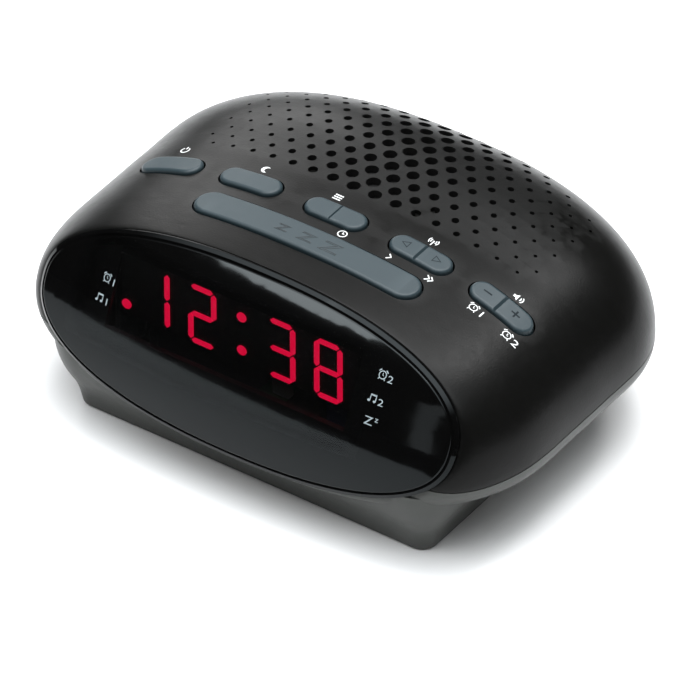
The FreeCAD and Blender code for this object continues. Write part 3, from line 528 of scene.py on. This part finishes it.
def power_icon():
    return merged([ribbon(arc((0, 0), 0.8, 128, 412), 0.24), ribbon([(0, 0.3), (0, 1.1)], 0.24)])


def moon_icon():
    return strip(arc((0, 0), 0.9, 50, 310), arc((0.45, 0), 0.70, 79.5, 280.5))


def list_icon():
    return merged([ribbon([(-0.85, y), (0.85, y)], 0.26) for y in (-0.6, 0, 0.6)])


def dial_icon():
    """A plain clock face."""
    return merged([ring(0.85, 0.2), ribbon([(0, 0.5), (0, 0), (0.4, 0)], 0.18)])


def aerial_icon():
    """A mast with waves on both sides."""
    shapes = [disc((0, 0.25), 0.2), ribbon([(0, 0.1), (0, -0.95)], 0.2)]
    for radius in (0.55, 0.95):
        shapes.append(ribbon(arc((0, 0.25), radius, -42, 42), 0.18))
        shapes.append(ribbon(arc((0, 0.25), radius, 138, 222), 0.18))
    return merged(shapes)


def chevrons(count):
    places = [0.75 * (index - (count - 1) / 2) for index in range(count)]
    return merged([ribbon([(x - 0.35, 0.7), (x + 0.35, 0), (x - 0.35, -0.7)], 0.26) for x in places])


def loudspeaker_icon():
    shapes = [strip([(-1.0, -0.3), (-0.55, -0.3), (-0.05, -0.8)], [(-1.0, 0.3), (-0.55, 0.3), (-0.05, 0.8)])]
    for radius in (0.5, 0.95):
        shapes.append(ribbon(arc((0, 0), radius, -45, 45), 0.2))
    return merged(shapes)


def numbered_clock(digit):
    number = scaled(flat_text(digit, height=1.5, widen=1.2), 1.0, (1.9, -0.3))
    return merged([clock_icon(), number])


# ------------------------------------------------------------------ printed marks, and dark key marks of painted shade
RIM_TILT = math.radians(23.6)
RIM_UP = Vector((0, math.sin(RIM_TILT), math.cos(RIM_TILT)))
RIM_OUT = Vector((0, -math.cos(RIM_TILT), math.sin(RIM_TILT)))

# Drawn sizes are in metres. Where a mark goes is an offset in millimetres from the middle of a node.
KEY_SIGN_SIZE = 1.25 * MM
KEY_SIGN_LIFT = 0.05 * MM
LENS_ICON_SIZE = 1.15 * MM
PRINT_LIFT = 0.03 * MM
RAY_REACH = 0.1

SNOOZE_HEIGHTS = (2.2 * MM, 2.8 * MM, 3.4 * MM)
SNOOZE_PITCH = 6.5
SNOOZE_FORWARD = 0.4
SNOOZE_LINE = 0.12 * MM
SNOOZE_SINK = 0.04 * MM

ROCKER_SIGNS_BACK = 0.2
ARROW_PLACE = 4.2
MINUS_PLACE = -3.8
PLUS_PLACE = 3.7
BAR_HALF = 1.1 * MM
BAR_WIDTH = 0.4 * MM
ARROW_WIDTH = 0.36 * MM


class Surface:
    """The outer surface of a CAD node, met by rays along one direction."""

    def __init__(self, name, inwards):
        maker = bmesh.new()
        maker.from_mesh(nodes[name].data)
        self.tree = BVHTree.FromBMesh(maker)
        maker.free()
        self.inwards = inwards

    def lay(self, point, lift):
        """The point moved along the rays onto the surface and lifted off it, or left where no ray hits."""
        hit, normal, _, _ = self.tree.ray_cast(point - self.inwards * RAY_REACH, self.inwards)
        return hit + normal * lift if hit else point


def mark(name, shape, surface, beside, offset, material, body, up=BACK, lift=PRINT_LIFT):
    """Lay a flat shape on a surface, at an offset in millimetres from the middle of a CAD node."""
    points, faces = shape
    place = middle_of(beside) + Vector(offset) * MM
    maker = bmesh.new()
    for point in points:
        maker.verts.new(surface.lay(place + ACROSS * point.x + up * point.y, lift + point.z))
    maker.verts.ensure_lookup_table()
    for face in faces:
        maker.faces.new([maker.verts[index] for index in face])
    bmesh.ops.triangulate(maker, faces=[face for face in maker.faces if len(face.verts) > 4])
    bmesh.ops.recalc_face_normals(maker, faces=maker.faces)
    mesh = bpy.data.meshes.new(name)
    maker.to_mesh(mesh)
    maker.free()
    mesh.materials.append(material)
    piece = bpy.data.objects.new(name, mesh)
    scene.collection.objects.link(piece)
    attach(piece, body)


def print_key_signs():
    """A plain sign for what each key does, printed beside it."""
    top = Surface("top_shell", -UP)
    white = printed("white_print", (0.78, 0.80, 0.80)).material
    signs = [
        ("power", power_icon(), "power_key", (-1.4, 6.9, 0)),
        ("sleep", moon_icon(), "sleep_key", (0, 5.7, 0)),
        ("preset", list_icon(), "preset_key", (-3.3, 5.55, 0)),
        ("time", dial_icon(), "preset_key", (5.2, -4.9, 0)),
        ("tuning", aerial_icon(), "tuning_rocker", (-0.4, 5.3, 0)),
        ("hour", chevrons(1), "tuning_rocker", (-5.1, -5.1, 0)),
        ("minute", chevrons(2), "tuning_rocker", (5.9, -5.3, 0)),
        ("volume", loudspeaker_icon(), "volume_rocker", (1.1, 5.1, 0)),
        ("first_alarm", numbered_clock("1"), "volume_rocker", (-4.0, -5.3, 0)),
        ("second_alarm", numbered_clock("2"), "volume_rocker", (5.2, -5.5, 0))]
    for name, sign, key, offset in signs:
        drawn = scaled(sign, KEY_SIGN_SIZE)
        mark(name + "_sign", drawn, top, key, offset, white, "case", lift=KEY_SIGN_LIFT)


def engrave_snooze_bar():
    """Three outlined letters that grow from left to right; their dark outlines are painted shade for the
    walls of the moulded letters.
    """
    painted_groove_shade = printed("key_engraving_painted_shade", (0.010, 0.016, 0.019)).material
    bar = Surface("snooze_bar", -UP)
    for index, height in enumerate(SNOOZE_HEIGHTS):
        letter = flat_text("Z", height, widen=1.5, outline=SNOOZE_LINE)
        offset = ((index - 1) * SNOOZE_PITCH, -SNOOZE_FORWARD, 0)
        mark("snooze_sign_%d" % (index + 1), letter, bar, "snooze_bar", offset, painted_groove_shade, "snooze_bar",
             lift=-SNOOZE_SINK)


def mark_rockers():
    """An arrow on each half of the tuning rocker, and minus and plus on the volume rocker, drawn dark as
    painted shade of moulded signs.
    """
    shader = printed("key_sign", (0.006, 0.011, 0.014))
    shader.fixed({"Specular IOR Level": 0.1})
    arrow = [(-0.8 * MM, -0.95 * MM), (1.0 * MM, 0), (-0.8 * MM, 0.95 * MM)]
    back = [(-x, y) for x, y in arrow]
    level = ribbon([(-BAR_HALF, 0), (BAR_HALF, 0)], BAR_WIDTH)
    upright = ribbon([(0, -BAR_HALF), (0, BAR_HALF)], BAR_WIDTH)
    signs = [
        ("tuning_arrow_down", ribbon(back, ARROW_WIDTH, closed=True), "tuning_rocker", -ARROW_PLACE),
        ("tuning_arrow_up", ribbon(arrow, ARROW_WIDTH, closed=True), "tuning_rocker", ARROW_PLACE),
        ("volume_minus", level, "volume_rocker", MINUS_PLACE),
        ("volume_plus", merged([level, upright]), "volume_rocker", PLUS_PLACE)]
    for name, sign, rocker, across in signs:
        offset = (across, ROCKER_SIGNS_BACK, 0)
        mark(name, sign, Surface(rocker, -UP), rocker, offset, shader.material, rocker)


def print_lens_icons():
    """Small icons beside the digits: two alarms, each with a bell or music, and sleep."""
    lens = Surface("front_lens", -RIM_OUT)
    pale = printed("icon_print", (0.36, 0.43, 0.46)).material
    icons = [
        ("left_alarm", clock_icon(), "1", (-32.5, -9.6, 4.6)),
        ("left_music", note_icon(), "1", (-33.0, -11.8, 0.3)),
        ("right_alarm", clock_icon(), "2", (41.4, -7.2, 8.7)),
        ("right_music", note_icon(), "2", (40.9, -10.4, 4.0))]
    for name, icon, digit, offset in icons:
        number = flat_text(digit, height=1.6 * MM, widen=1.3)
        shape = merged([scaled(icon, LENS_ICON_SIZE), scaled(number, 1.0, (2.1 * MM, -0.5 * MM))])
        mark(name + "_icon", shape, lens, "display_module", offset, pale, "case", RIM_UP)
    large = flat_text("Z", height=2.0 * MM, widen=1.2)
    small = scaled(flat_text("z", height=1.9 * MM, widen=1.1), 0.7, (1.9 * MM, 0.9 * MM))
    sleep = merged([large, small])
    mark("sleep_icon", sleep, lens, "display_module", (41.3, -12.8, -0.8), pale, "case", RIM_UP)


make_camera()
make_lights()
make_world()
make_floor()
make_card()
dress_case()
dress_keys()
dress_electronics()
dress_speaker()
dress_hardware()
print_key_signs()
engrave_snooze_bar()
mark_rockers()
print_lens_icons()
